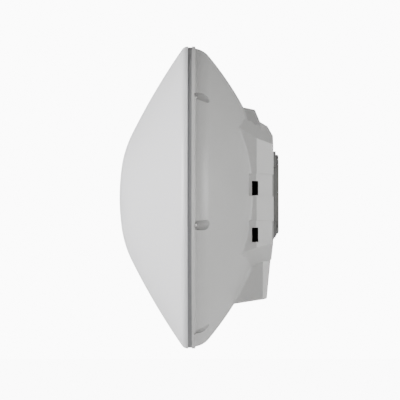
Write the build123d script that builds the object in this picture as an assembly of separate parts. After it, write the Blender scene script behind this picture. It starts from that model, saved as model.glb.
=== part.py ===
from build123d import *
import os
from math import atan2, cos, hypot, pi, radians, sin, tan

# Outdoor wireless bridge: a dish radio that straps to a mast.
# Millimetres. The boresight points along -Y, +Z is up. While it is modelled, Y is 0 at the
# middle of the rim seam and Z is 0 on the boresight; export moves the origin onto the mast's axis.

os.makedirs("parts", exist_ok=True)

# ---- rim and radome ----
rim_radius = 128.0
radome_depth = 60.0            # nose to the seam
radome_wall = 2.2
nose_radius = 185.0
nose_angle = 8.1
shoulder_radius = 90.0
shoulder_angle = 26.5          # slope of the dome where the flank begins
radome_rim_height = 5.3        # edge of the flank to the seam
radome_rim_round = 6.0
bead_width = 8.5               # solid edge that the inserts sit in
seam_gap = 3.3                 # gasket thickness
seam_front = -1.9
gasket_inset = 0.7             # how far the gasket stands back from the rim

# ---- rim screws, M3 ----
rim_screw_count = 7
rim_screw_inset = 4.1
pocket_radius = 4.3
pocket_wall = 1.9
pocket_length = 24.0
flange_thickness = 2.0
m3_radius = 1.45
m3_hole_radius = 1.7
m3_head_radius = 2.8
m3_head_height = 2.2
insert_radius = 1.95
insert_bore = 1.5
insert_length = 3.2
rim_screw_length = 8.0

# ---- rear shell ----
shell_apex = 65.2              # where the rear bowl would cross the boresight
shell_focal = 72.5
shell_wall = 2.8               # along the boresight
shoulder_start = 120.0         # radius at which the bowl turns into the rim
shoulder_top = 4.6
lip_height = 2.6
lip_step = 1.7
flange_inner_radius = 119.5

# ---- radio housing on the back ----
housing_rear = 69.2
housing_wall = 2.6
housing_half_width = 61.5      # at the rear face
break_half_width = 63.5        # where the side wall turns outwards
break_y = 55.1
flare_half_width = 70.0
flare_y = 44.0
housing_top = 62.6
housing_bottom = -53.3
housing_edge = 1.0             # rounding of the housing's outer edges
bowl_blend = 2.5               # rounding where the housing leaves the bowl
ridge_top = 74.5
ridge_half_width = 38.0
ridge_crest_half_width = 27.0

# ---- port bay under the housing, open at the bottom ----
bay_half_width = 27.0
bay_wall = 2.2
bay_mouth_rear = (60.0, -86.5)    # Y, Z of the mouth's plane at the back
bay_mouth_front = (37.6, -90.0)
bay_rear_top = 67.6
bay_rear_bottom = 64.6
bay_chamfer = 6.6
bay_front = 38.0
bay_ceiling = -60.0

# ---- mast saddle ----
mast_radius = 19.0
mast_clearance = 0.8
saddle_trough = 65.2
saddle_ear = 74.5
saddle_half_width = 21.0
saddle_low = -34.5
saddle_high = 37.5
saddle_ear_round = 8.0
saddle_ear_chamfer = 5.0
saddle_seat = 62.5
saddle_gap = 0.4
lug_thickness = 2.5
lug_half_height = 6.5
saddle_screw_x = 28.0
saddle_screw_z = (saddle_high - lug_half_height, saddle_low + lug_half_height)
m4_radius = 1.95
m4_hole_radius = 2.2
m4_head_radius = 3.8
m4_head_height = 2.4
m4_boss_radius = 4.15
saddle_screw_length = 9.5

# ---- strap passages ----
strap_height = 12.0
strap_passage = 5.4            # clear depth for the band
strap_levels = (5.0, -33.6)
strap_slot_y = 53.7            # middle of the opening in the side wall
strap_bow = 4.8
duct_wall = 1.0
duct_gap = 0.15
channel_depth = 1.2
channel_height = 18.6
channel_rise = 2.6             # the channel's middle stands above the slot's
slot_lead_in = 2.5
slot_lead_out = 5.0            # length of the slope behind a slot
slot_lead_out_depth = 0.6

# ---- reflector and feed ----
reflector_radius = 112.0
reflector_focal = 78.0
reflector_sheet = 1.0
reflector_front = 1.0          # plane of its rim
reflector_lip_radius = 118.3
reflector_screw_radius = 115.6
reflector_screw_count = 6
reflector_boss_radius = 3.0
reflector_screw_length = 6.0
feed_radius = 8.5
feed_wall = 1.5
feed_front = -36.0
feed_gap = 0.1
feed_flange_radius = 15.0
feed_flange = 2.4
sub_reflector_radius = 16.0
sub_reflector_sheet = 1.2

# ---- main board ----
board_front = 57.0
board_thickness = 1.6
board_half_width = 46.0
board_top = 44.0
board_bottom = -44.0
tab_half_width = 23.5
tab_bottom = -55.8
board_boss_radius = 3.2
board_screw_length = 6.5
board_screws = ((-42.0, 34.0), (42.0, 34.0), (-42.0, -20.0), (42.0, -20.0))

# ---- cable entry ----
port_x = -9.0
port_y = 50.4
cable_radius = 3.0
collar_inner = 7.4
collar_outer = 8.9
collar_drop = 9.0              # how far it stands out of the ceiling
collar_flange = 10.8
collar_flange_thickness = 1.5
nut_outer = 11.2
nut_gap = 0.2
nut_length = 11.5
nut_floor = 1.6
nut_ribs = 12
ring_thickness = 1.2

# ---- small fittings in the bay ----
button_x = 10.0
button_y = 54.6
button_radius = 1.6
button_travel = 0.8
stem_radius = 0.92
stem_reach = 1.8               # how far the stem reaches into the switch
button_proud = 1.2
running_gap = 0.08
guide_x = (15.0, 18.5, 22.0)
guide_y = 55.6
guide_radius = 1.2
vent_x = 8.0
vent_y = 45.0
vent_radius = 4.6
vent_stem_radius = 3.0
ground_x = 18.5
ground_y = 45.5
ground_screw_length = 7.5
washer_radius = 4.4
washer_thickness = 1.0

# ---- derived places ----
seam_rear = seam_front + seam_gap
mast_axis = saddle_trough + mast_radius
screw_circle = rim_radius - rim_screw_inset
pocket_floor = seam_rear + flange_thickness
board_rear = board_front + board_thickness
reflector_apex = reflector_front + reflector_radius**2 / (4 * reflector_focal)
well_wall = saddle_seat - housing_wall + 0.2    # inner face of the wall behind the saddle
recess_half_width = saddle_half_width + saddle_gap
groove_radius = mast_radius + mast_clearance
groove_bottom = mast_axis - groove_radius
bay_rear_inner = groove_bottom - bay_wall
ceiling_top = bay_ceiling + bay_wall
block_front = 20.0             # inside the bowl, where the housing's blocks begin
boss_rear = 80.0               # past the rear wall, so that a boss always reaches it
m3_thread = m3_radius + 0.05
m4_thread = m4_radius + 0.05
saddle_hole_end = housing_rear + lug_thickness - saddle_screw_length - 0.8
ground_hole_end = ceiling_top + 5.5
strap_radius = (housing_half_width**2 + strap_bow**2) / (2 * strap_bow)


# ---- small helpers ----
def block(x, y, z):
    """Box between two values on each axis."""
    middle = [(low + high) / 2 for low, high in (x, y, z)]
    size = [high - low for low, high in (x, y, z)]
    return Pos(*middle) * Box(*size)


def rod_y(radius, y, x=0.0, z=0.0):
    """Cylinder along Y."""
    return Pos(x, (y[0] + y[1]) / 2, z) * Rot(90, 0, 0) * Cylinder(radius, y[1] - y[0])


def rod_z(radius, z, x=0.0, y=0.0):
    """Cylinder along Z."""
    return Pos(x, y, (z[0] + z[1]) / 2) * Cylinder(radius, z[1] - z[0])


def tube_y(outer, inner, y, x=0.0, z=0.0):
    return rod_y(outer, y, x, z) - rod_y(inner, (y[0] - 1, y[1] + 1), x, z)


def tube_z(outer, inner, z, x=0.0, y=0.0):
    return rod_z(outer, z, x, y) - rod_z(inner, (z[0] - 1, z[1] + 1), x, y)


def trimmed(shape, facets, inset=0.0):
    """Cut the shape back to the inner side of each facet, moved in by the inset."""
    for point, normal in facets:
        outward = Vector(*normal).normalized()
        plane = Plane(origin=Vector(*point) - outward * inset, z_dir=outward)
        shape = split(shape, bisect_by=plane, keep=Keep.BOTTOM)
    return shape


def both_sides(facets):
    """The facets and their mirror images across X."""
    mirrored = [((-p[0], p[1], p[2]), (-n[0], n[1], n[2])) for p, n in facets]
    return facets + mirrored


def save(shape, node):
    """Write one sub-part with the mast's axis as its origin."""
    shape = Pos(0, -mast_axis, 0) * shape
    shape.label = node
    export_step(shape, f"parts/{node}.step")


def polar(radius, angle):
    return radius * cos(radians(angle)), radius * sin(radians(angle))


def rim_places():
    """Rim screw places, the first at the top."""
    pitch = 360 / rim_screw_count
    return [polar(screw_circle, 90 + step * pitch) for step in range(rim_screw_count)]


# ---- radome ----
def dome_section(inset):
    """Half section of the radome's outer face, moved in by the inset, down to the seam."""
    nose = JernArc((0, inset - radome_depth), (1, 0), nose_radius - inset, nose_angle)
    shoulder = JernArc(nose @ 1, nose % 1, shoulder_radius - inset, shoulder_angle - nose_angle)
    # the flank is one arc that leaves the shoulder smoothly and ends at the rim's edge
    edge = Vector(rim_radius, -radome_rim_height)
    start = shoulder @ 1 + Vector(*polar(inset, shoulder_angle - 90))
    chord = atan2(edge.Y - start.Y, edge.X - start.X)
    end_slope = 2 * chord - radians(shoulder_angle)
    inward = Vector(-sin(end_slope), cos(end_slope))
    flank = TangentArc(shoulder @ 1, edge + inward * inset, tangent=shoulder % 1)
    rim = Polyline(flank @ 1, ((flank @ 1).X, seam_front), (0, seam_front), (0, inset - radome_depth))
    return make_face([nose, shoulder, flank, rim])


def rim_rounding(section):
    """The radome's rim rounding, or less where the short wall at its rim can't hold it."""
    flank = section.edges().filter_by(GeomType.CIRCLE).sort_by(Axis.X)[-1]
    edge_side = max((0, 1), key=lambda place: (flank @ place).X)
    along = flank % edge_side
    turn = atan2(abs(along.X), abs(along.Y))
    wall = radome_rim_height + seam_front
    return min(radome_rim_round, 0.97 * wall / tan(turn / 2))


def make_radome():
    outer = dome_section(0)
    corner = outer.vertices().sort_by(Axis.X)[-2:].sort_by(Axis.Y)[0]
    outer = fillet(corner, rim_rounding(outer))
    inner = dome_section(radome_wall)
    cavity_limit = Pos((rim_radius - bead_width) / 2, -radome_depth / 2) * Rectangle(
        rim_radius - bead_width, radome_depth * 2
    )
    section = outer - (inner & cavity_limit)
    shell = revolve(section, Axis.Y)
    for x, z in rim_places():
        shell -= rod_y(insert_radius, (seam_front - insert_length, seam_front + 1), x, z)
    return shell


# ---- rear shell ----
def bowl_height(radius):
    return shell_apex - radius**2 / (4 * shell_focal)


def bowl_section(drop, reach):
    """Half section of the paraboloid out to a radius, moved forward by the drop."""
    edge = bowl_height(reach) - drop
    top = shell_apex - drop
    curve = Bezier((0, top), (reach / 2, top), (reach, edge))
    return curve, (reach, edge)


def outer_bowl():
    curve, edge = bowl_section(0, shoulder_start)
    lip_radius = rim_radius - lip_step
    shoulder_end = (lip_radius, shoulder_top)
    slope = Vector(1, -shoulder_start / (2 * shell_focal))
    shoulder = TangentArc(edge, shoulder_end, tangent=slope)
    lip_top = seam_rear + lip_height
    corner = (rim_radius, seam_rear)
    rim = Polyline(shoulder_end, (rim_radius, lip_top), corner, (0, seam_rear), (0, shell_apex))
    return revolve(make_face([curve, shoulder, rim]), Axis.Y)


def inner_bowl():
    curve, edge = bowl_section(shell_wall, flange_inner_radius)
    rim = Polyline(edge, (flange_inner_radius, seam_rear - 1), (0, seam_rear - 1), (0, shell_apex - shell_wall))
    return revolve(make_face([curve, rim]), Axis.Y)


bevel_low = (housing_half_width, housing_rear, 38.5)
bevel_front = (66.0, 48.9, 49.2)
bevel_high = (40.0, housing_rear, 49.9)

# lower corners: the facet falls from the side wall to the bay and dies out on the bowl
lower_rear = (housing_half_width, housing_rear, -38.5)
lower_front = (66.0, 49.6, -46.0)
lower_bay = (bay_half_width, 68.0, -51.6)


def facet_through(first, second, third):
    """A facet of the +X side that holds three points and faces out and back."""
    normal = (Vector(*second) - Vector(*first)).cross(Vector(*third) - Vector(*first))
    if normal.Y < 0:
        normal = normal * -1
    return (first, (normal.X, normal.Y, normal.Z))


side_facets = [
    ((break_half_width, break_y, 0), (housing_rear - break_y, break_half_width - housing_half_width, 0)),
    ((break_half_width, break_y, 0), (break_y - flare_y, flare_half_width - break_half_width, 0)),
    facet_through(bevel_low, bevel_high, bevel_front),
    facet_through(lower_rear, lower_bay, lower_front),
]
housing_facets = both_sides(side_facets) + [
    ((0, housing_rear, 0), (0, 1, 0)),
    ((0, 58.1, housing_top), (0, 0, 1)),
    ((0, 58.1, housing_top), (0, 3.9, 6.8)),
    ((0, 64.9, 58.7), (0, 8.8, 4.3)),
    ((0, housing_rear, -36.0), (0, 14.5, -0.8)),
    ((0, 68.0, housing_bottom), (0, 6.0, -12.5)),
]
ridge_side = (ridge_top - housing_top, 0, ridge_half_width - ridge_crest_half_width)
ridge_facets = both_sides([((ridge_half_width, 0, housing_top), ridge_side)]) + [
    ((0, 46.0, ridge_top), (0, 1.9, 8.4)),
    ((0, 54.4, 72.6), (0, 10.0, 3.7)),
]
bay_facets = both_sides([
    ((bay_half_width, 0, 0), (1, 0, 0)),
    ((bay_half_width, bay_rear_top - bay_chamfer, 0), (1, 1, 0)),
]) + [
    ((0, bay_rear_top, housing_bottom), (0, 1, -(bay_rear_top - bay_rear_bottom) / 30)),
]


def housing_block(inset=0.0):
    return trimmed(block((-90, 90), (block_front, 100), (-90, 90)), housing_facets, inset)


def ridge_block(inset=0.0):
    side = ridge_half_width + 3.0 - inset
    return trimmed(block((-side, side), (block_front, 100), (50, 100)), ridge_facets, inset)


def bay_block(inset=0.0):
    """The hood over the connectors, closed at the back and sides."""
    return trimmed(block((-90, 90), (block_front, 100), (-120, -40)), bay_facets, inset)


def eased(shape, hidden=()):
    """Round the edges of a block, but not those at its front or inside its neighbour."""
    edges = [e for e in shape.edges() if max((e @ 0).Y, (e @ 1).Y) > block_front + 1]
    for limit in hidden:
        edges = [e for e in edges if min((e @ 0).Z, (e @ 1).Z) < limit]
    return shape.fillet(housing_edge, edges)


def on_bowl(edge):
    """True for an edge where a block leaves the bowl."""
    if edge.geom_type in (GeomType.CIRCLE, GeomType.BEZIER):
        return False
    points = [edge @ share for share in (0, 0.25, 0.5, 0.75, 1)]
    return all(abs(p.Y - bowl_height(hypot(p.X, p.Z))) < 0.01 for p in points)


def shell_skin():
    """The rear shell's outer form as one solid."""
    mouth = (
        bay_mouth_rear[0] - bay_mouth_front[0],
        bay_mouth_rear[1] - bay_mouth_front[1],
    )
    hood = trimmed(bay_block(), [((0, *bay_mouth_rear), (0, mouth[1], -mouth[0]))])
    skin = outer_bowl() + eased(housing_block()) + eased(ridge_block()) + eased(hood, hidden=(-41,))
    return skin.fillet(bowl_blend, [e for e in skin.edges() if on_bowl(e)])


def bowed_bar(depth, height, level):
    """A strap's way across the housing, bowed forward in the middle."""
    middle = strap_slot_y - strap_bow
    centre = Pos(0, middle + strap_radius)
    sector = centre * (Circle(strap_radius + depth / 2) - Circle(strap_radius - depth / 2))
    bar = Pos(0, 0, level) * extrude(sector, height / 2, both=True)
    return bar & block((-90, 90), (middle - 20, middle + 40), (level - 50, level + 50))


def wall_place(y):
    """Half width of the housing's side wall behind its break."""
    lean = (break_half_width - housing_half_width) / (housing_rear - break_y)
    return break_half_width - lean * (y - break_y)


def strap_channel(side, level):
    """The shallow seat that leads a strap from its slot round the rear corner."""
    low = level + channel_rise - channel_height / 2
    across = sorted((side * (housing_half_width - 9.5), side * 90))
    front = strap_slot_y - strap_passage / 2 - slot_lead_in
    seat = block(across, (front, 100), (low, low + channel_height))
    return seat - housing_block(channel_depth)


def strap_lead_in(side, level):
    """The slope on the front side of a slot."""
    front = strap_slot_y - strap_passage / 2
    deep = side * (break_half_width - 1.0)
    shallow = deep + side * slot_lead_in * 2
    slope = Polyline((deep, front), (shallow, front - slot_lead_in), (shallow, front), (deep, front))
    return Pos(0, 0, level) * extrude(make_face(slope), strap_height / 2, both=True)


def strap_lead_out(side, level):
    """The slope on the rear side of a slot, which dies out in the channel's floor."""
    rear = strap_slot_y + strap_passage / 2
    end = rear + slot_lead_out
    deep = side * (wall_place(rear) - channel_depth - slot_lead_out_depth)
    shallow = side * (wall_place(end) - channel_depth * 0.9)
    clear = side * (break_half_width + 4)
    slope = Polyline((deep, rear - 0.5), (shallow, end), (clear, end), (clear, rear - 0.5), (deep, rear - 0.5))
    return Pos(0, 0, level) * extrude(make_face(slope), strap_height / 2, both=True)


def shell_cavity():
    """Everything inside the rear shell, with the walls and bosses left standing."""
    side = bay_half_width - bay_wall
    well = recess_half_width + housing_wall
    pocket = block((-side, side), (bay_front, bay_rear_inner), (ceiling_top, bay_ceiling + 10))
    cavity = inner_bowl() + [housing_block(housing_wall), ridge_block(housing_wall), pocket]
    kept = [
        # the bay's own front wall, ceiling and cheeks
        block(
            (-bay_half_width, bay_half_width), (bay_front - bay_wall, 100), (-120, ceiling_top)
        ),
        # the wall steps forward behind the saddle and behind the mast
        block(
            (-well, well), (well_wall, 100), (saddle_low - saddle_gap - housing_wall, saddle_high + 3)
        ),
        block((-16, 16), (bay_rear_inner, 100), (-120, 100)),
        rod_z(m4_boss_radius, (ceiling_top, ground_hole_end + 1.2), ground_x, ground_y),
    ]
    for x, z in rim_places():
        kept.append(rod_y(pocket_radius + pocket_wall, (pocket_floor - 0.8, 40), x, z))
    for x, z in reflector_places():
        kept.append(rod_y(reflector_boss_radius, (reflector_front + reflector_sheet, 40), x, z))
    for x, z in board_screws:
        kept.append(rod_y(board_boss_radius, (board_rear, boss_rear), x, z))
    for x, z in saddle_places():
        kept.append(rod_y(m4_boss_radius, (saddle_hole_end - 1.2, boss_rear), x, z))
    return cavity - kept


def reflector_places():
    pitch = 360 / reflector_screw_count
    return [polar(reflector_screw_radius, step * pitch) for step in range(reflector_screw_count)]


def saddle_places():
    return [(side * saddle_screw_x, z) for side in (-1, 1) for z in saddle_screw_z]


def make_rear_shell():
    side = bay_half_width - bay_wall
    low, high = saddle_low - saddle_gap, saddle_high + saddle_gap
    bay_space = block((-side, side), (bay_front, bay_rear_inner), (-120, bay_ceiling))
    cuts = [
        shell_cavity(),
        bay_block(bay_wall) & bay_space,
        block((-recess_half_width, recess_half_width), (saddle_seat, 100), (low, high)),
        rod_z(groove_radius, (-130, 130), 0, mast_axis),
    ]
    # straps
    for level in strap_levels:
        cuts.append(bowed_bar(strap_passage, strap_height, level))
        for hand in (-1, 1):
            cuts += [strap_channel(hand, level), strap_lead_in(hand, level), strap_lead_out(hand, level)]
    # screws
    for x, z in rim_places():
        cuts.append(rod_y(pocket_radius, (pocket_floor, pocket_floor + pocket_length), x, z))
        cuts.append(rod_y(m3_hole_radius, (seam_rear - 1, pocket_floor + 1), x, z))
    for x, z in reflector_places():
        cuts.append(rod_y(m3_thread, (0, reflector_front + reflector_sheet + 6), x, z))
    for x, z in board_screws:
        cuts.append(rod_y(m3_thread, (board_rear - 1, board_rear + 5.4), x, z))
    for x, z in saddle_places():
        cuts.append(rod_y(m4_thread, (saddle_hole_end, housing_rear + 5), x, z))
    # the bay's ceiling
    through = (bay_ceiling - 5, ceiling_top + 1)
    cuts.append(rod_z(collar_outer + 0.05, through, port_x, port_y))
    cuts.append(rod_z(button_radius + running_gap, through, button_x, button_y))
    cuts.append(rod_z(vent_stem_radius + 0.05, through, vent_x, vent_y))
    cuts.append(rod_z(m4_thread, (bay_ceiling - 5, ground_hole_end), ground_x, ground_y))
    cuts += [rod_z(guide_radius + 0.05, through, x, guide_y) for x in guide_x]
    return shell_skin() - cuts


# ---- rim parts ----
def make_rim_gasket():
    gasket = tube_y(rim_radius - gasket_inset, flange_inner_radius, (seam_front, seam_rear))
    return gasket - [rod_y(m3_hole_radius, (seam_front - 1, seam_rear + 1), x, z) for x, z in rim_places()]


def pan_screw(radius, head_radius, head_height, length):
    """Screw along +Z with the underside of its head at 0 and its shank below."""
    head = Pos(0, 0, head_height / 2) * Cylinder(head_radius, head_height)
    head = head.fillet(head_height * 0.4, head.faces().sort_by(Axis.Z)[-1].edges())
    cross = Pos(0, 0, head_height) * (
        Box(head_radius * 1.1, head_radius * 0.3, head_height)
        + Box(head_radius * 0.3, head_radius * 1.1, head_height)
    )
    shank = Pos(0, 0, -length / 2) * Cylinder(radius, length)
    return head + shank - cross


def screws_at(screw, places, seat, backwards=True):
    """Copies of a screw along Y, with their heads on the rear or the front side."""
    turn = -90 if backwards else 90
    return Compound([Pos(x, seat, z) * Rot(turn, 0, 0) * screw for x, z in places])


def make_rim_inserts():
    insert = tube_y(insert_radius, insert_bore, (seam_front - insert_length, seam_front))
    return Compound([Pos(x, 0, z) * insert for x, z in rim_places()])


# ---- reflector and feed ----
def bowl_of(apex, focal, reach, floor):
    """Solid under a paraboloid, from the floor plane up to its apex."""
    edge = apex - reach**2 / (4 * focal)
    curve = Bezier((0, apex), (reach / 2, apex), (reach, edge))
    rest = Polyline((reach, edge), (reach, floor), (0, floor), (0, apex))
    return revolve(make_face([curve, rest]), Axis.Y)


def reflector_back(floor):
    return bowl_of(reflector_apex + reflector_sheet, reflector_focal, reflector_radius, floor)


def feed_screw_places():
    return [polar(12.0, 45 + quarter * 90) for quarter in range(4)]


def make_reflector():
    front = reflector_front
    dish = reflector_back(front) - bowl_of(reflector_apex, reflector_focal, reflector_radius, front - 9)
    dish += tube_y(reflector_lip_radius, reflector_radius, (front, front + reflector_sheet))
    holes = [rod_y(feed_radius + feed_gap, (0, 90))]
    holes += [rod_y(m3_hole_radius, (0, 9), x, z) for x, z in reflector_places()]
    holes += [rod_y(1.15, (20, 60), x, z) for x, z in feed_screw_places()]
    return dish - holes


feed_rear = reflector_apex + reflector_sheet + feed_flange
tube_end = feed_rear - 0.8
pin_places = ((-3.0, -10.2), (3.0, -10.2))


def make_feed_base():
    base = rod_y(feed_flange_radius, (feed_rear - 4, feed_rear))
    holes = [reflector_back(0), rod_y(feed_radius + feed_gap, (0, tube_end + feed_gap))]
    holes += [rod_y(1.0, (0, feed_rear - 0.6), x, z) for x, z in feed_screw_places()]
    holes += [rod_y(0.65, (0, 90), x, z) for x, z in pin_places]
    return base - holes


def make_feed_tube():
    return tube_y(feed_radius, feed_radius - feed_wall, (feed_front, tube_end))


def make_feed_board():
    strip = feed_radius - feed_wall - 0.6
    return block((-strip, strip), (feed_front + 0.5, tube_end - 0.3), (-0.5, 0.5))


def make_feed_cap():
    cup = rod_y(feed_radius + 1.2, (feed_front - 2.2, feed_front + 6))
    cup -= rod_y(feed_radius + feed_gap / 2, (feed_front, feed_front + 7))
    snap = rod_y(2.0, (feed_front - 2.2 - sub_reflector_sheet, feed_front - 2))
    button = rod_y(3.0, (feed_front - 3.2 - sub_reflector_sheet, feed_front - 2.2 - sub_reflector_sheet))
    return cup + snap + button


def make_sub_reflector():
    rear = feed_front - 2.2
    plate = rod_y(sub_reflector_radius, (rear - sub_reflector_sheet, rear))
    plate = plate.fillet(0.4, plate.edges().filter_by(GeomType.CIRCLE))
    return plate - rod_y(2.05, (rear - 5, rear + 5))


def make_feed_screws():
    seat = reflector_apex - 13.6**2 / (4 * reflector_focal)
    screw = pan_screw(0.95, 1.6, 1.3, 3.3)
    return screws_at(screw, feed_screw_places(), seat, backwards=False)


def make_feed_probe_pins():
    return Compound([rod_y(0.6, (feed_rear - 1.5, board_front), x, z) for x, z in pin_places])


# ---- strap ducts ----
def make_strap_duct(level):
    outside = bowed_bar(strap_passage + 2 * duct_wall, strap_height + 2 * duct_wall, level)
    inside = bowed_bar(strap_passage, strap_height, level)
    return (outside & housing_block(housing_wall + duct_gap)) - inside


# ---- mast saddle ----
def make_pole_saddle():
    low, high = saddle_low, saddle_high
    body = block((-saddle_half_width, saddle_half_width), (saddle_seat, saddle_ear), (low, high))
    top_edges = [e for e in body.edges().filter_by(Axis.X) if (e @ 0).Y > saddle_ear - 1]
    top_edges.sort(key=lambda e: (e @ 0).Z)
    body = body.chamfer(saddle_ear_chamfer, None, [top_edges[0]])
    top_edges = [e for e in body.edges().filter_by(Axis.X) if (e @ 0).Y > saddle_ear - 1]
    top_edges.sort(key=lambda e: (e @ 0).Z)
    body = body.fillet(saddle_ear_round, [top_edges[-1]])
    reach = saddle_screw_x + 6.0
    for z in saddle_screw_z:
        height = (z - lug_half_height, z + lug_half_height)
        lug = block((-reach, reach), (housing_rear, housing_rear + lug_thickness), height)
        corners = lug.edges().filter_by(Axis.Y)
        body += lug.fillet(4.0, corners)
    grips = [rod_z(mast_radius + 0.6, (z, z + 3.0), 0, mast_axis) for z in (-20.0, 0.0, 20.0)]
    holes = [rod_y(m4_hole_radius, (50, 90), x, z) for x, z in saddle_places()]
    return body - [rod_z(mast_radius, (-60, 60), 0, mast_axis)] - grips - holes


def make_saddle_screws():
    screw = pan_screw(m4_radius, m4_head_radius, m4_head_height, saddle_screw_length)
    return screws_at(screw, saddle_places(), housing_rear + lug_thickness)


# ---- main board ----
def on_board(x, z, height, gap=0.0):
    """A part on the board's front side, from its X and Z spans and its height."""
    return block(x, (board_front - gap - height, board_front - gap), z)


def make_main_board():
    board = block((-board_half_width, board_half_width), (board_front, board_rear), (board_bottom, board_top))
    board = board.fillet(3.0, board.edges().filter_by(Axis.Y))
    board += block((-tab_half_width, tab_half_width), (board_front, board_rear), (tab_bottom, board_bottom + 5))
    return board - [rod_y(m3_hole_radius, (board_front - 1, board_rear + 1), x, z) for x, z in board_screws]


def make_board_screws():
    screw = pan_screw(m3_radius, m3_head_radius, m3_head_height, board_screw_length)
    return screws_at(screw, board_screws, board_front, backwards=False)


def shield_can(x, z, height):
    can = on_board(x, z, height)
    can = can.fillet(0.8, can.edges().filter_by(Axis.Y))
    return can - block((x[0] + 0.3, x[1] - 0.3), (board_front - height + 0.3, 90), (z[0] + 0.3, z[1] - 0.3))


radio_span = ((-36.0, -4.0), (15.0, 40.0))
digital_span = ((4.0, 36.0), (15.0, 40.0))
can_height = 3.6


def chip_in(span, size, height):
    x, z = [(low + high) / 2 for low, high in span]
    return on_board((x - size / 2, x + size / 2), (z - size / 2, z + size / 2), height)


def make_thermal_pads():
    pads = []
    for span in (radio_span, digital_span):
        x = sum(span[0]) / 2
        pads.append(block((x - 7, x + 7), (board_rear, board_rear + 0.5), (20, 34)))
    return Compound(pads)


def make_heat_spreader():
    plate = block((-30, 30), (board_rear + 0.5, well_wall), (17, 37))
    return plate.fillet(2.0, plate.edges().filter_by(Axis.Y))


jack_x = (port_x - 8.0, port_x + 8.0)
jack_z = (tab_bottom, -41.3)
jack_depth = 11.6


def make_ethernet_jack():
    jack = on_board(jack_x, jack_z, jack_depth)
    mouth = block(
        (port_x - 5.9, port_x + 5.9), (board_front - 9.8, board_front - 2.0), (jack_z[0] - 1, jack_z[1] - 2)
    )
    latch = block(
        (port_x - 3.2, port_x + 3.2), (board_front - 10.9, board_front - 9), (jack_z[0] - 1, jack_z[1] - 5)
    )
    return jack - [mouth, latch]


def make_jack_insert():
    return block(
        (port_x - 5.8, port_x + 5.8), (board_front - 3.6, board_front - 2.1), (jack_z[0] + 1.5, jack_z[1] - 2.1)
    )


def make_jack_contacts():
    rear = board_front - 3.7
    pitch = 1.02
    wires = []
    for pin in range(8):
        x = port_x + (pin - 3.5) * pitch
        wires.append(block((x - 0.2, x + 0.2), (rear - 1.0, rear), (jack_z[0] + 2, jack_z[1] - 2.2)))
    return Compound(wires)


def make_ethernet_transformer():
    body = on_board((-20, -5), (-25, -12), 5.6)
    return body.fillet(0.6, body.edges().filter_by(Axis.Y))


def make_power_inductor():
    body = on_board((8, 18), (-20, -10), 4.4)
    return body.chamfer(1.2, None, body.edges().filter_by(Axis.Y))


def make_capacitors():
    cans = []
    for x, z in ((26.0, -12.0), (26.0, -20.0), (-26.0, -12.0), (35.0, -16.0)):
        can = rod_y(3.0, (board_front - 6.2, board_front), x, z)
        cans.append(can.fillet(0.5, can.faces().sort_by(Axis.Y)[0].edges()))
    return Compound(cans)


led_bottom = tab_bottom + 0.4


def make_status_leds():
    return Compound([on_board((x - 0.8, x + 0.8), (led_bottom, led_bottom + 1.4), 2.2) for x in guide_x])


def make_light_guides():
    guides = []
    for x in guide_x:
        guide = rod_z(guide_radius, (bay_ceiling - 0.6, tab_bottom + 0.1), x, guide_y)
        collar = rod_z(guide_radius + 0.5, (ceiling_top, ceiling_top + 0.6), x, guide_y)
        guides.append(guide + collar)
    return Compound(guides)


switch_bottom = tab_bottom


def make_reset_switch():
    height = board_front - button_y + 2.6
    body = on_board((button_x - 3, button_x + 3), (switch_bottom, switch_bottom + 6), height)
    hole = (switch_bottom - 1, switch_bottom + stem_reach + 2 * button_travel)
    return body - rod_z(stem_radius + running_gap, hole, button_x, button_y)


def make_reset_button():
    button = rod_z(button_radius, (bay_ceiling - button_proud, ceiling_top + 0.8), button_x, button_y)
    button = button.fillet(0.4, button.faces().sort_by(Axis.Z)[0].edges())
    button += rod_z(button_radius + 1.0, (ceiling_top + 0.02, ceiling_top + 0.8), button_x, button_y)
    return button + rod_z(stem_radius, (ceiling_top, switch_bottom + stem_reach), button_x, button_y)


# ---- cable gland ----
collar_end = bay_ceiling - collar_drop
seal_flange = (collar_end - 1.5, collar_end)
ring_top = seal_flange[0] - 0.3
ring_bottom = ring_top - ring_thickness
nut_floor_top = ring_bottom - 0.3
nut_bottom = nut_floor_top - nut_floor
lock_ring_height = 1.6


def make_gland_collar():
    collar = rod_z(collar_outer, (collar_end, ceiling_top), port_x, port_y)
    collar += rod_z(collar_flange, (ceiling_top, ceiling_top + collar_flange_thickness), port_x, port_y)
    groove = tube_z(collar_outer + 1.5, collar_outer + 0.5, (ceiling_top, ceiling_top + 0.8), port_x, port_y)
    return collar - [rod_z(collar_inner, (-90, -40), port_x, port_y), groove]


def make_collar_o_ring():
    return tube_z(collar_outer + 1.45, collar_outer + 0.55, (ceiling_top, ceiling_top + 0.75), port_x, port_y)


def make_gland_lock_ring():
    low = bay_ceiling - lock_ring_height
    ring = Cylinder(collar_outer + 1.9, lock_ring_height)
    notches = [
        Rot(0, 0, step * 60) * Pos(collar_outer + 2.0, 0, 0) * Box(1.2, 3.0, 5)
        for step in range(6)
    ]
    ring = ring - notches
    return Pos(port_x, port_y, low + lock_ring_height / 2) * (ring - Cylinder(collar_outer + 0.05, 9))


def make_gland_seal():
    body = rod_z(collar_inner - 0.05, (collar_end, collar_end + 7.5), port_x, port_y)
    body += rod_z(collar_outer - 0.2, seal_flange, port_x, port_y)
    return body - rod_z(cable_radius, (-90, -40), port_x, port_y)


def make_gland_ring():
    return tube_z(collar_outer - 0.3, cable_radius + 1.5, (ring_bottom, ring_top), port_x, port_y)


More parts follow.
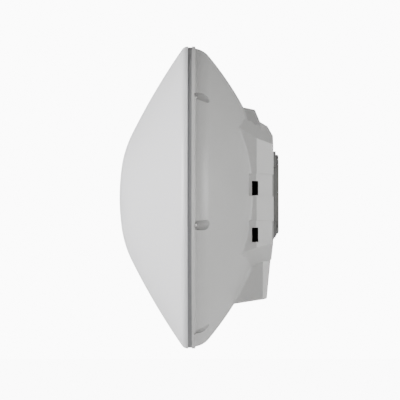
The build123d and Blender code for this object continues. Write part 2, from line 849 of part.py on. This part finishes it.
def make_gland_nut():
    high = nut_bottom + nut_length
    bore = collar_outer + nut_gap
    nut = Pos(0, 0, (nut_bottom + high) / 2) * Cylinder(nut_outer, high - nut_bottom)
    nut = nut.fillet(0.8, nut.edges().filter_by(GeomType.CIRCLE))
    grooves = []
    for rib in range(nut_ribs):
        turn = Rot(0, 0, rib * 360 / nut_ribs)
        grooves.append(turn * rod_z(1.0, (nut_bottom + 2, high + 1), nut_outer + 0.5, 0))
    hollow = rod_z(bore, (nut_floor_top, high + 1))
    mouth = rod_z(cable_radius + 2.5, (nut_bottom - 1, nut_floor_top + 1))
    return Pos(port_x, port_y, 0) * (nut - [hollow, mouth] - grooves)


# ---- vent and ground point ----
def make_vent_plug():
    head = rod_z(vent_radius, (bay_ceiling - 2.2, bay_ceiling), vent_x, vent_y)
    head = head.fillet(0.6, head.faces().sort_by(Axis.Z)[0].edges())
    stem = rod_z(vent_stem_radius, (bay_ceiling, ceiling_top + 1.5), vent_x, vent_y)
    passage = rod_z(1.4, (-70, -40), vent_x, vent_y)
    seat = rod_z(2.2, (ceiling_top + 1.0, ceiling_top + 3), vent_x, vent_y)
    across = (vent_x - 3.2, vent_x + 3.2)
    slot = block(across, (vent_y - 0.5, vent_y + 0.5), (bay_ceiling - 3, bay_ceiling - 1.4))
    return head + stem - [passage, seat, slot]


def make_vent_membrane():
    return rod_z(2.15, (ceiling_top + 1.0, ceiling_top + 1.3), vent_x, vent_y)


def make_ground_washer():
    return tube_z(washer_radius, m4_hole_radius, (bay_ceiling - washer_thickness, bay_ceiling), ground_x, ground_y)


def make_ground_screw():
    seat = bay_ceiling - washer_thickness
    screw = pan_screw(m4_radius, m4_head_radius, m4_head_height, ground_screw_length)
    return Pos(ground_x, ground_y, seat) * Rot(180, 0, 0) * screw


# ---- every sub-part ----
sub_parts = {
    "radome": make_radome(),
    "rear_shell": make_rear_shell(),
    "rim_gasket": make_rim_gasket(),
    "rim_inserts": make_rim_inserts(),
    "rim_screws": screws_at(
        pan_screw(m3_radius, m3_head_radius, m3_head_height, rim_screw_length), rim_places(), pocket_floor
    ),
    "reflector": make_reflector(),
    "reflector_screws": screws_at(
        pan_screw(m3_radius, m3_head_radius, m3_head_height, reflector_screw_length),
        reflector_places(),
        reflector_front,
        backwards=False,
    ),
    "feed_base": make_feed_base(),
    "feed_tube": make_feed_tube(),
    "feed_board": make_feed_board(),
    "feed_cap": make_feed_cap(),
    "sub_reflector": make_sub_reflector(),
    "feed_screws": make_feed_screws(),
    "feed_probe_pins": make_feed_probe_pins(),
    "strap_duct_upper": make_strap_duct(strap_levels[0]),
    "strap_duct_lower": make_strap_duct(strap_levels[1]),
    "pole_saddle": make_pole_saddle(),
    "saddle_screws": make_saddle_screws(),
    "main_board": make_main_board(),
    "board_screws": make_board_screws(),
    "radio_shield_can": shield_can(*radio_span, can_height),
    "digital_shield_can": shield_can(*digital_span, can_height),
    "radio_chip": chip_in(radio_span, 10.0, 1.2),
    "processor_chip": chip_in(digital_span, 14.0, 1.4),
    "memory_chip": on_board((7.0, 11.0), (20.0, 32.0), 1.1),
    "thermal_pads": make_thermal_pads(),
    "heat_spreader": make_heat_spreader(),
    "ethernet_jack": make_ethernet_jack(),
    "jack_insert": make_jack_insert(),
    "jack_contacts": make_jack_contacts(),
    "ethernet_transformer": make_ethernet_transformer(),
    "power_inductor": make_power_inductor(),
    "capacitors": make_capacitors(),
    "status_leds": make_status_leds(),
    "light_guides": make_light_guides(),
    "reset_switch": make_reset_switch(),
    "reset_button": make_reset_button(),
    "gland_collar": make_gland_collar(),
    "collar_o_ring": make_collar_o_ring(),
    "gland_lock_ring": make_gland_lock_ring(),
    "gland_seal": make_gland_seal(),
    "gland_ring": make_gland_ring(),
    "gland_nut": make_gland_nut(),
    "vent_plug": make_vent_plug(),
    "vent_membrane": make_vent_membrane(),
    "ground_washer": make_ground_washer(),
    "ground_screw": make_ground_screw(),
}
for node, shape in sub_parts.items():
    save(shape, node)
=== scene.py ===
import bpy
from math import atan2, cos, pi, radians, sin
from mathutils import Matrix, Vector


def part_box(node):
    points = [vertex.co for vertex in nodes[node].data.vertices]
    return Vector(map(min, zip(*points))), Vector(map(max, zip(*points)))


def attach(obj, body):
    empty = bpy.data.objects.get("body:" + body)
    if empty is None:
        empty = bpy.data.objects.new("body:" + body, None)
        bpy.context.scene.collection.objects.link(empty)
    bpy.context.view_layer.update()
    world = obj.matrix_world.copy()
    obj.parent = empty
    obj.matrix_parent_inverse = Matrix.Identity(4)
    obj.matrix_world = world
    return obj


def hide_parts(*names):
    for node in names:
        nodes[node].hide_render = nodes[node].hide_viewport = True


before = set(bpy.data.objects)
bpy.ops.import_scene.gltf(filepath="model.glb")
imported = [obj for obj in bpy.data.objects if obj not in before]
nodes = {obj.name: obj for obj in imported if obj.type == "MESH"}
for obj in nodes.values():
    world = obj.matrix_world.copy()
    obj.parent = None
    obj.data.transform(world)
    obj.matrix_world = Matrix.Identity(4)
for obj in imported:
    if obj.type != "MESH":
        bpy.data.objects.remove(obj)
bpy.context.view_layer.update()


# stage, light and camera

stage = {
    "floorDrop": 0.26,       # metres under the mast's origin
    "floorSize": 24.0,
    "colour": (0.93, 0.93, 0.93, 1),
    "glow": 11.0,            # how white the paper looks
    "glowShare": 0.93,
}

camera = {
    "distance": 2.5,
    "below": 2.5,            # degrees under the level of the boresight
    "width": 0.3392,         # what the view takes in, across, at the object
    "aimY": -0.0760,
    "aimZ": -0.0021,
}

lights = {
    # name: place, size, power, colour
    "frontSoftbox": ((0.7, -2.6, 0.3), 1.8, 205, (1.0, 0.998, 0.996)),
    "cameraFill": ((2.9, 0.5, 0.7), 1.6, 3, (1.0, 1.0, 1.0)),
    "topPanel": ((0.3, 0.3, 2.2), 1.2, 2, (0.97, 0.985, 1.0)),
    "shoulderStrip": ((1.25, 2.15, 0.5), 0.35, 8, (1.0, 1.0, 1.0)),
    "backPanel": ((0.75, 2.6, -0.1), 1.5, 70, (1.0, 1.0, 0.995)),
}
ambient = 0.33


def deselect():
    if bpy.context.mode != "OBJECT":
        bpy.ops.object.mode_set(mode="OBJECT")
    bpy.ops.object.select_all(action="DESELECT")


def lookAt(thing, target):
    thing.rotation_euler = (Vector(target) - thing.location).to_track_quat("-Z", "Y").to_euler()


def makeCamera():
    data = bpy.data.cameras.new("sideCamera")
    data.sensor_width = 36
    data.lens = 36 * camera["distance"] / camera["width"]
    data.clip_end = 60
    thing = bpy.data.objects.new("sideCamera", data)
    bpy.context.scene.collection.objects.link(thing)
    tilt = radians(camera["below"])
    thing.location = (
        camera["distance"] * cos(tilt),
        camera["aimY"],
        camera["aimZ"] - camera["distance"] * sin(tilt),
    )
    lookAt(thing, (0, camera["aimY"], camera["aimZ"]))
    bpy.context.scene.camera = thing


def makeLights():
    for name, (place, size, power, colour) in lights.items():
        data = bpy.data.lights.new(name, "AREA")
        data.shape = "SQUARE"
        data.size = size
        data.energy = power
        data.color = colour
        thing = bpy.data.objects.new(name, data)
        bpy.context.scene.collection.objects.link(thing)
        thing.location = place
        lookAt(thing, (0, -0.03, 0))


def makeWorld():
    world = bpy.data.worlds.new("studio")
    world.use_nodes = True
    tree = world.node_tree
    room = tree.nodes["Background"]
    room.inputs["Strength"].default_value = ambient
    room.inputs["Color"].default_value = (1, 1, 1, 1)
    paper = tree.nodes.new("ShaderNodeBackground")
    paper.inputs["Strength"].default_value = stage["glow"]
    paper.inputs["Color"].default_value = (1, 1, 1, 1)
    seen = tree.nodes.new("ShaderNodeLightPath")
    mix = tree.nodes.new("ShaderNodeMixShader")
    tree.links.new(seen.outputs["Is Camera Ray"], mix.inputs["Fac"])
    tree.links.new(room.outputs["Background"], mix.inputs[1])
    tree.links.new(paper.outputs["Background"], mix.inputs[2])
    tree.links.new(mix.outputs["Shader"], tree.nodes["World Output"].inputs["Surface"])
    bpy.context.scene.world = world


def makeFloor():
    deselect()
    bpy.ops.mesh.primitive_plane_add(size=stage["floorSize"], location=(0, 0, -stage["floorDrop"]))
    floor = bpy.context.object
    floor.name = "floor"
    paper = bpy.data.materials.new("palePaper")
    paper.use_nodes = True
    tree = paper.node_tree
    shader = tree.nodes["Principled BSDF"]
    shader.inputs["Base Color"].default_value = stage["colour"]
    shader.inputs["Roughness"].default_value = 0.9
    glow = tree.nodes.new("ShaderNodeEmission")
    glow.inputs["Strength"].default_value = stage["glow"]
    seen = tree.nodes.new("ShaderNodeLightPath")
    share = tree.nodes.new("ShaderNodeMath")
    share.operation = "MULTIPLY"
    share.inputs[1].default_value = stage["glowShare"]
    mix = tree.nodes.new("ShaderNodeMixShader")
    tree.links.new(seen.outputs["Is Camera Ray"], share.inputs[0])
    tree.links.new(share.outputs["Value"], mix.inputs["Fac"])
    tree.links.new(shader.outputs["BSDF"], mix.inputs[1])
    tree.links.new(glow.outputs["Emission"], mix.inputs[2])
    # the paper lets a camera under it see up through it
    away = tree.nodes.new("ShaderNodeNewGeometry")
    clear = tree.nodes.new("ShaderNodeBsdfTransparent")
    oneSided = tree.nodes.new("ShaderNodeMixShader")
    tree.links.new(away.outputs["Backfacing"], oneSided.inputs["Fac"])
    tree.links.new(mix.outputs["Shader"], oneSided.inputs[1])
    tree.links.new(clear.outputs["BSDF"], oneSided.inputs[2])
    tree.links.new(oneSided.outputs["Shader"], tree.nodes["Material Output"].inputs["Surface"])
    floor.data.materials.append(paper)


makeCamera()
makeLights()
makeWorld()
makeFloor()
print("stage, light and camera ready")


# shared surface effects

def newGroup(name, inputs, outputs):
    group = bpy.data.node_groups.new(name, "ShaderNodeTree")
    for label, value in inputs.items():
        socket = group.interface.new_socket(label, in_out="INPUT", socket_type="NodeSocketFloat")
        socket.default_value = value
    for label, kind in outputs.items():
        group.interface.new_socket(label, in_out="OUTPUT", socket_type=kind)
    start = group.nodes.new("NodeGroupInput")
    end = group.nodes.new("NodeGroupOutput")
    return group, start, end


def mathNode(tree, operation, first, second):
    node = tree.nodes.new("ShaderNodeMath")
    node.operation = operation
    for socket, value in zip(node.inputs, (first, second)):
        if isinstance(value, (int, float)):
            socket.default_value = value
        else:
            tree.links.new(value, socket)
    return node.outputs["Value"]


def noiseNode(tree, scale, detail, vector, distortion=0.0):
    node = tree.nodes.new("ShaderNodeTexNoise")
    node.inputs["Detail"].default_value = detail
    node.inputs["Distortion"].default_value = distortion
    tree.links.new(vector, node.inputs["Vector"])
    if isinstance(scale, (int, float)):
        node.inputs["Scale"].default_value = scale
    else:
        tree.links.new(scale, node.inputs["Scale"])
    return node.outputs["Fac"]


def rangeNode(tree, value, low, high, outLow=0.0, outHigh=1.0):
    node = tree.nodes.new("ShaderNodeMapRange")
    tree.links.new(value, node.inputs["Value"])
    for label, number in (("From Min", low), ("From Max", high), ("To Min", outLow), ("To Max", outHigh)):
        node.inputs[label].default_value = number
    return node.outputs["Result"]


def makeMouldGrain():
    group, start, end = newGroup(
        "mouldGrain",
        {"Grain per metre": 1700.0, "Mottle per metre": 14.0, "Grain height": 0.5},
        {"Height": "NodeSocketFloat", "Mottle": "NodeSocketFloat", "Speckle": "NodeSocketFloat"},
    )
    place = group.nodes.new("ShaderNodeTexCoord").outputs["Object"]
    pebble = group.nodes.new("ShaderNodeTexVoronoi")
    pebble.feature = "SMOOTH_F1"
    group.links.new(place, pebble.inputs["Vector"])
    group.links.new(start.outputs["Grain per metre"], pebble.inputs["Scale"])
    fine = noiseNode(group, start.outputs["Grain per metre"], 3.0, place)
    slow = noiseNode(group, start.outputs["Mottle per metre"], 4.0, place, 0.6)
    both = mathNode(group, "ADD", pebble.outputs["Distance"], fine)
    height = mathNode(group, "MULTIPLY", both, start.outputs["Grain height"])
    group.links.new(height, end.inputs["Height"])
    group.links.new(rangeNode(group, slow, 0.3, 0.7), end.inputs["Mottle"])
    group.links.new(rangeNode(group, fine, 0.35, 0.65), end.inputs["Speckle"])
    return group


def makeSettledDust():
    group, start, end = newGroup(
        "settledDust",
        {"Amount": 0.2, "Patches per metre": 60.0},
        {"Mask": "NodeSocketFloat"},
    )
    place = group.nodes.new("ShaderNodeTexCoord").outputs["Object"]
    facing = group.nodes.new("ShaderNodeSeparateXYZ")
    group.links.new(group.nodes.new("ShaderNodeNewGeometry").outputs["Normal"], facing.inputs["Vector"])
    upward = rangeNode(group, facing.outputs["Z"], 0.1, 1.0)
    patches = rangeNode(group, noiseNode(group, start.outputs["Patches per metre"], 6.0, place), 0.35, 0.75)
    settled = mathNode(group, "MULTIPLY", upward, patches)
    mask = mathNode(group, "MULTIPLY", settled, start.outputs["Amount"])
    group.links.new(mask, end.inputs["Mask"])
    return group


def makeToolMarks():
    group, start, end = newGroup(
        "toolMarks",
        {"Marks per metre": 900.0, "Waviness": 1.0},
        {"Height": "NodeSocketFloat", "Sheen": "NodeSocketFloat"},
    )
    place = group.nodes.new("ShaderNodeTexCoord").outputs["Object"]
    rings = group.nodes.new("ShaderNodeTexWave")
    rings.wave_type = "RINGS"
    rings.rings_direction = "Y"
    group.links.new(place, rings.inputs["Vector"])
    group.links.new(start.outputs["Marks per metre"], rings.inputs["Scale"])
    group.links.new(start.outputs["Waviness"], rings.inputs["Distortion"])
    smear = noiseNode(group, 160.0, 5.0, place)
    group.links.new(rings.outputs["Fac"], end.inputs["Height"])
    group.links.new(rangeNode(group, smear, 0.3, 0.7), end.inputs["Sheen"])
    return group


mouldGrain = makeMouldGrain()
settledDust = makeSettledDust()
toolMarks = makeToolMarks()
print("surface effects ready")


# finishes

def newMaterial(name, look):
    material = bpy.data.materials.new(name)
    material.use_nodes = True
    shader = material.node_tree.nodes["Principled BSDF"]
    shader.inputs["Metallic"].default_value = look.get("metal", 0.0)
    shader.inputs["Roughness"].default_value = look["roughness"]
    shader.inputs["Base Color"].default_value = (*look["colour"], 1)
    material.diffuse_color = (*look["colour"], 1)
    return material, material.node_tree, shader


def useGroup(tree, group, **values):
    node = tree.nodes.new("ShaderNodeGroup")
    node.node_tree = group
    for label, value in values.items():
        node.inputs[label.replace("_", " ")].default_value = value
    return node


def mixColour(tree, mask, first, second):
    node = tree.nodes.new("ShaderNodeMix")
    node.data_type = "RGBA"
    tree.links.new(mask, node.inputs["Factor"])
    for socket, value in ((node.inputs["A"], first), (node.inputs["B"], second)):
        if isinstance(value, tuple):
            socket.default_value = (*value, 1)
        else:
            tree.links.new(value, socket)
    return node.outputs["Result"]


def bumpInto(tree, shader, height, strength, distance):
    bump = tree.nodes.new("ShaderNodeBump")
    bump.inputs["Strength"].default_value = strength
    bump.inputs["Distance"].default_value = distance
    tree.links.new(height, bump.inputs["Height"])
    tree.links.new(bump.outputs["Normal"], shader.inputs["Normal"])


def shaded(colour, share):
    return tuple(value * share for value in colour)


def mouldedPlastic(name, look):
    material, tree, shader = newMaterial(name, look)
    grain = useGroup(
        tree, mouldGrain, Grain_per_metre=look["grain"], Mottle_per_metre=look.get("mottle", 14.0)
    )
    dust = useGroup(tree, settledDust, Amount=look.get("dust", 0.12))
    deep = shaded(look["colour"], look.get("deep", 0.965))
    tone = mixColour(tree, grain.outputs["Mottle"], deep, look["colour"])
    fleck = mixColour(tree, grain.outputs["Speckle"], shaded(look["colour"], 0.95), tone)
    dusted = mixColour(tree, dust.outputs["Mask"], fleck, look.get("dustColour", (0.55, 0.53, 0.49)))
    tree.links.new(dusted, shader.inputs["Base Color"])
    rough = rangeNode(
        tree, grain.outputs["Mottle"], 0.0, 1.0, look["roughness"] - 0.04, look["roughness"] + 0.05
    )
    tree.links.new(rough, shader.inputs["Roughness"])
    bumpInto(tree, shader, grain.outputs["Height"], look.get("bump", 0.12), 0.00004)
    return material


def turnedMetal(name, look):
    material, tree, shader = newMaterial(name, look)
    marks = useGroup(tree, toolMarks, Marks_per_metre=look["marks"], Waviness=look.get("wave", 1.0))
    tone = mixColour(tree, marks.outputs["Sheen"], shaded(look["colour"], 0.86), look["colour"])
    tree.links.new(tone, shader.inputs["Base Color"])
    rough = rangeNode(
        tree, marks.outputs["Sheen"], 0.0, 1.0, look["roughness"] - 0.07, look["roughness"] + 0.09
    )
    tree.links.new(rough, shader.inputs["Roughness"])
    bumpInto(tree, shader, marks.outputs["Height"], look.get("bump", 0.2), 0.00002)
    return material


def circuitBoard(name, look):
    material, tree, shader = newMaterial(name, look)
    place = tree.nodes.new("ShaderNodeTexCoord").outputs["Object"]
    turn = tree.nodes.new("ShaderNodeMapping")
    turn.inputs["Rotation"].default_value = (pi / 2, 0, 0)
    tree.links.new(place, turn.inputs["Vector"])
    tracks = tree.nodes.new("ShaderNodeTexBrick")
    for label, value in look["tracks"].items():
        tracks.inputs[label].default_value = value
    tree.links.new(turn.outputs["Vector"], tracks.inputs["Vector"])
    vias = tree.nodes.new("ShaderNodeTexVoronoi")
    vias.inputs["Scale"].default_value = look["vias"]
    tree.links.new(place, vias.inputs["Vector"])
    via = rangeNode(tree, vias.outputs["Distance"], 0.16, 0.12)
    track = mixColour(tree, tracks.outputs["Fac"], look["colour"], look["track"])
    tree.links.new(mixColour(tree, via, track, look["pad"]), shader.inputs["Base Color"])
    tree.links.new(via, shader.inputs["Metallic"])
    bumpInto(tree, shader, tracks.outputs["Fac"], 0.4, 0.00003)
    return material


def wovenFilm(name, look):
    material, tree, shader = newMaterial(name, look)
    place = tree.nodes.new("ShaderNodeTexCoord").outputs["Object"]
    weave = tree.nodes.new("ShaderNodeTexVoronoi")
    weave.inputs["Scale"].default_value = look["weave"]
    tree.links.new(place, weave.inputs["Vector"])
    tone = mixColour(tree, weave.outputs["Distance"], shaded(look["colour"], 0.7), look["colour"])
    tree.links.new(tone, shader.inputs["Base Color"])
    bumpInto(tree, shader, weave.outputs["Distance"], 0.5, 0.00005)
    return material


plastics = {
    "radomePlastic": {
        "colour": (0.67, 0.67, 0.685), "roughness": 0.38, "grain": 1500.0, "bump": 0.10, "mottle": 9.0,
    },
    "shellPlastic": {
        "colour": (0.49, 0.49, 0.482), "roughness": 0.36, "grain": 1300.0, "bump": 0.16, "dust": 0.1,
    },
    "gasketRubber": {
        "colour": (0.235, 0.235, 0.245), "roughness": 0.72, "grain": 900.0, "bump": 0.3, "deep": 0.85,
    },
    "saddleEnamel": {
        "colour": (0.19, 0.19, 0.186), "roughness": 0.5, "grain": 620.0, "bump": 0.45, "deep": 0.88,
    },
    "blackPlastic": {
        "colour": (0.006, 0.006, 0.006), "roughness": 0.85, "grain": 1400.0, "bump": 0.2, "dust": 0.0,
    },
    "feedPlastic": {
        "colour": (0.7, 0.69, 0.65), "roughness": 0.4, "grain": 1100.0, "bump": 0.15,
    },
    "chipEpoxy": {
        "colour": (0.022, 0.022, 0.024), "roughness": 0.55, "grain": 2400.0, "bump": 0.3, "dust": 0.0,
    },
    "thermalPad": {
        "colour": (0.32, 0.42, 0.5), "roughness": 0.8, "grain": 800.0, "bump": 0.4, "dust": 0.0,
    },
    "capacitorSleeve": {
        "colour": (0.03, 0.035, 0.06), "roughness": 0.3, "grain": 500.0, "bump": 0.08, "dust": 0.0,
    },
    "lampLens": {
        "colour": (0.78, 0.82, 0.7), "roughness": 0.2, "grain": 700.0, "bump": 0.05, "dust": 0.0,
    },
    "buttonPlastic": {
        "colour": (0.2, 0.2, 0.2), "roughness": 0.45, "grain": 1600.0, "bump": 0.2,
    },
    "glandNylon": {
        "colour": (0.4, 0.4, 0.392), "roughness": 0.38, "grain": 1000.0, "bump": 0.14, "deep": 0.93,
    },
    "ventPlastic": {
        "colour": (0.035, 0.035, 0.036), "roughness": 0.5, "grain": 1200.0, "bump": 0.25,
    },
}
metals = {
    "screwSteel": {
        "colour": (0.5, 0.5, 0.49), "roughness": 0.33, "metal": 1.0, "marks": 2600.0, "wave": 6.0,
    },
    "darkSteel": {
        "colour": (0.2, 0.2, 0.2), "roughness": 0.42, "metal": 1.0, "marks": 2600.0, "wave": 6.0,
    },
    "turnedBrass": {
        "colour": (0.72, 0.53, 0.23), "roughness": 0.3, "metal": 1.0, "marks": 3000.0, "wave": 2.0,
    },
    "spunAluminium": {
        "colour": (0.72, 0.72, 0.73), "roughness": 0.36, "metal": 1.0, "marks": 420.0,
    },
    "tinnedSteel": {
        "colour": (0.62, 0.63, 0.63), "roughness": 0.4, "metal": 1.0, "marks": 90.0, "wave": 14.0,
    },
}
boardLook = {
    "colour": (0.015, 0.11, 0.055),
    "track": (0.03, 0.17, 0.085),
    "pad": (0.7, 0.55, 0.3),
    "roughness": 0.3,
    "tracks": {"Scale": 300.0, "Mortar Size": 0.06, "Brick Width": 1.7, "Row Height": 0.34},
    "vias": 330.0,           # per metre
}
filmLook = {"colour": (0.8, 0.8, 0.8), "roughness": 0.7, "weave": 4200.0}
guideLook = {
    "colour": (0.82, 0.85, 0.85),
    "roughness": 0.25,
    "grain": 900.0,
    "bump": 0.06,
    "dust": 0.0,
    "clearness": 0.6,
}

finishes = {name: mouldedPlastic(name, look) for name, look in plastics.items()}
finishes.update({name: turnedMetal(name, look) for name, look in metals.items()})
finishes["solderMask"] = circuitBoard("solderMask", boardLook)
finishes["ventFilm"] = wovenFilm("ventFilm", filmLook)
finishes["lightGuide"] = mouldedPlastic("lightGuide", guideLook)
guideShader = finishes["lightGuide"].node_tree.nodes["Principled BSDF"]
guideShader.inputs["Transmission Weight"].default_value = guideLook["clearness"]

madeOf = {
    "radomePlastic": ("radome",),
    "shellPlastic": ("rear_shell",),
    "gasketRubber": ("rim_gasket", "gland_seal", "collar_o_ring"),
    "saddleEnamel": ("pole_saddle",),
    "blackPlastic": ("strap_duct_upper", "strap_duct_lower", "ethernet_jack", "jack_insert"),
    "feedPlastic": ("feed_base", "feed_tube", "feed_cap"),
    "chipEpoxy": (
        "radio_chip", "processor_chip", "memory_chip", "ethernet_transformer", "power_inductor",
        "reset_switch",
    ),
    "thermalPad": ("thermal_pads",),
    "capacitorSleeve": ("capacitors",),
    "lampLens": ("status_leds",),
    "buttonPlastic": ("reset_button",),
    "glandNylon": ("gland_collar", "gland_lock_ring", "gland_ring", "gland_nut"),
    "ventPlastic": ("vent_plug",),
    "screwSteel": (
        "rim_screws", "reflector_screws", "feed_screws", "board_screws", "saddle_screws", "ground_screw",
        "ground_washer",
    ),
    "turnedBrass": ("rim_inserts", "feed_probe_pins", "jack_contacts"),
    "spunAluminium": ("reflector", "sub_reflector", "heat_spreader"),
    "tinnedSteel": ("radio_shield_can", "digital_shield_can"),
    "solderMask": ("main_board", "feed_board"),
    "ventFilm": ("vent_membrane",),
    "lightGuide": ("light_guides",),
}
for finish, members in madeOf.items():
    for node in members:
        nodes[node].data.materials.clear()
        nodes[node].data.materials.append(finishes[finish])
print("finishes on", sum(len(members) for members in madeOf.values()), "of", len(nodes), "nodes")


# pieces modelled here, each in place of its plain CAD node

def addCylinder(name, sides, radius, low, high, x=0.0, y=0.0):
    deselect()
    bpy.ops.mesh.primitive_cylinder_add(
        vertices=sides, radius=radius, depth=high - low, location=(x, y, (low + high) / 2)
    )
    piece = bpy.context.object
    piece.name = name
    bpy.ops.object.transform_apply(location=True, rotation=True, scale=True)
    return piece


def pick(piece, faces=None, edges=None):
    if bpy.context.mode != "OBJECT":
        bpy.ops.object.mode_set(mode="OBJECT")
    mesh = piece.data
    for parts in (mesh.vertices, mesh.edges, mesh.polygons):
        parts.foreach_set("select", [False] * len(parts))
    if faces:
        for face in mesh.polygons:
            face.select = faces(face)
    if edges:
        for edge in mesh.edges:
            edge.select = edges(*(mesh.vertices[place].co for place in edge.vertices))
    bpy.context.tool_settings.mesh_select_mode = (False, bool(edges), bool(faces))
    bpy.ops.object.mode_set(mode="EDIT")


def apply(piece, kind, **values):
    deselect()
    piece.select_set(True)
    bpy.context.view_layer.objects.active = piece
    modifier = piece.modifiers.new(kind.lower(), kind)
    for label, value in values.items():
        setattr(modifier, label, value)
    bpy.ops.object.modifier_apply(modifier=modifier.name)


def finishPiece(piece, body, finish, node, smoothAngle=35):
    deselect()
    piece.select_set(True)
    bpy.context.view_layer.objects.active = piece
    bpy.ops.object.shade_smooth_by_angle(angle=radians(smoothAngle))
    piece.data.materials.clear()
    piece.data.materials.append(finishes[finish])
    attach(piece, body)
    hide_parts(node)


glandNut = {
    "sides": 96,
    "ribs": 12,
    "grooveShare": 0.45,     # of each rib's pitch
    "grooveDepth": 0.0008,
    "grooveMargin": 0.00045,
    "wall": 0.0021,
    "floor": 0.0016,
    "mouthRadius": 0.0055,
    "edgeRound": 0.0003,
    "roundOver": 50,         # degrees between faces
}


def makeGlandNut():
    low, high = (Vector(corner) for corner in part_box("gland_nut"))
    middle = (low + high) / 2
    radius = (high.x - low.x) / 2
    bore = radius - glandNut["wall"]
    nut = addCylinder("glandNut", glandNut["sides"], radius, low.z, high.z, middle.x, middle.y)

    def cap(face):
        return len(face.vertices) == glandNut["sides"]

    def grooved(face):
        turn = atan2(face.center.y - middle.y, face.center.x - middle.x) / (2 * pi) * glandNut["ribs"]
        return abs(face.normal.z) < 0.1 and not cap(face) and turn % 1 < glandNut["grooveShare"]

    pick(nut, faces=grooved)
    bpy.ops.mesh.inset(thickness=glandNut["grooveMargin"], depth=-glandNut["grooveDepth"])
    pick(nut, faces=lambda face: cap(face) and face.normal.z > 0)
    bpy.ops.mesh.inset(thickness=glandNut["wall"])
    bpy.ops.mesh.extrude_region_move(
        TRANSFORM_OT_translate={"value": (0, 0, -(high.z - low.z - glandNut["floor"]))}
    )
    bpy.ops.mesh.inset(thickness=bore - glandNut["mouthRadius"])
    pick(nut, faces=lambda face: cap(face) and face.normal.z < 0)
    bpy.ops.mesh.inset(thickness=radius - glandNut["mouthRadius"])
    pick(nut, faces=cap)
    bpy.ops.mesh.bridge_edge_loops()
    apply(
        nut, "BEVEL", width=glandNut["edgeRound"], segments=2, limit_method="ANGLE",
        angle_limit=radians(glandNut["roundOver"]),
    )
    finishPiece(nut, "nut", "glandNylon", "gland_nut")
    return nut


collarRing = {"around": 96, "acrossSection": 16}


def makeCollarRing():
    low, high = (Vector(corner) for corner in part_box("collar_o_ring"))
    section = (high.z - low.z) / 2
    deselect()
    bpy.ops.mesh.primitive_torus_add(
        major_radius=(high.x - low.x) / 2 - section,
        minor_radius=section,
        major_segments=collarRing["around"],
        minor_segments=collarRing["acrossSection"],
        location=(low + high) / 2,
    )
    ring = bpy.context.object
    ring.name = "collarRing"
    bpy.ops.object.transform_apply(location=True, rotation=True, scale=True)
    finishPiece(ring, "housing", "gasketRubber", "collar_o_ring", 80)
    return ring


rimRow = {"radius": 0.1239, "count": 7}
saddleRow = {"half": 0.028, "heights": (0.031, -0.028)}


def rimPlaces():
    turns = [pi / 2 + step * 2 * pi / rimRow["count"] for step in range(rimRow["count"])]
    return [(rimRow["radius"] * cos(turn), rimRow["radius"] * sin(turn)) for turn in turns]


def saddlePlaces():
    return [(side * saddleRow["half"], height) for side in (-1, 1) for height in saddleRow["heights"]]


screws = {
    "rim_screws": {
        "name": "rimScrews",
        "places": rimPlaces(),
        "head": 0.0028, "height": 0.0022, "shank": 0.00145, "finish": "screwSteel",
    },
    "saddle_screws": {
        "name": "saddleScrews",
        "places": saddlePlaces(),
        "head": 0.0038, "height": 0.0024, "shank": 0.00195, "finish": "darkSteel",
    },
}
screwShape = {
    "sides": 48,
    "domeShare": 0.6,        # of the head's height
    "domeSteps": 5,
    "crossLength": 1.25,     # of the head's radius
    "crossWidth": 0.27,
    "crossDepth": 0.55,      # of the head's height
    "tipRound": 0.0004,
}


def makeScrew(look, length):
    # head up, its underside at 0
    head, height, shank = look["head"], look["height"], look["shank"]
    screw = addCylinder("screw", screwShape["sides"], head, 0.0, height)
    pick(screw, edges=lambda a, b: min(a.z, b.z) > height * 0.99)
    dome = height * screwShape["domeShare"]
    bpy.ops.mesh.bevel(offset=dome, segments=screwShape["domeSteps"], affect="EDGES")
    pick(screw, faces=lambda face: face.normal.z < -0.9)
    bpy.ops.mesh.inset(thickness=head - shank)
    bpy.ops.mesh.extrude_region_move(TRANSFORM_OT_translate={"value": (0, 0, -length)})
    pick(screw, edges=lambda a, b: max(a.z, b.z) < -length * 0.99)
    bpy.ops.mesh.bevel(offset=screwShape["tipRound"], segments=1, affect="EDGES")
    bpy.ops.object.mode_set(mode="OBJECT")
    for turn in (0, pi / 2):
        deselect()
        bpy.ops.mesh.primitive_cube_add(size=1, location=(0, 0, height))
        blade = bpy.context.object
        blade.scale = (
            head * screwShape["crossLength"],
            head * screwShape["crossWidth"],
            height * screwShape["crossDepth"] * 2,
        )
        blade.rotation_euler = (0, 0, turn)
        bpy.ops.object.transform_apply(location=True, rotation=True, scale=True)
        apply(screw, "BOOLEAN", object=blade, operation="DIFFERENCE", solver="EXACT")
        bpy.data.objects.remove(blade)
    return screw


def makeScrews(node):
    look = screws[node]
    low, high = (Vector(corner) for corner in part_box(node))
    seat = high.y - look["height"]
    first = makeScrew(look, seat - low.y)
    copies = []
    for across, up in look["places"]:
        copy = first.copy()
        copy.data = first.data.copy()
        bpy.context.scene.collection.objects.link(copy)
        copy.rotation_euler = (-pi / 2, 0, 0)
        copy.location = (across, seat, up)
        copies.append(copy)
    bpy.data.objects.remove(first)
    deselect()
    for copy in copies:
        copy.select_set(True)
    bpy.context.view_layer.objects.active = copies[0]
    bpy.ops.object.transform_apply(location=True, rotation=True, scale=True)
    bpy.ops.object.join()
    joined = bpy.context.object
    joined.name = look["name"]
    finishPiece(joined, "housing", look["finish"], node)
    return joined


made = [makeGlandNut(), makeCollarRing()] + [makeScrews(node) for node in screws]
print("pieces modelled here:", ", ".join(piece.name for piece in made))
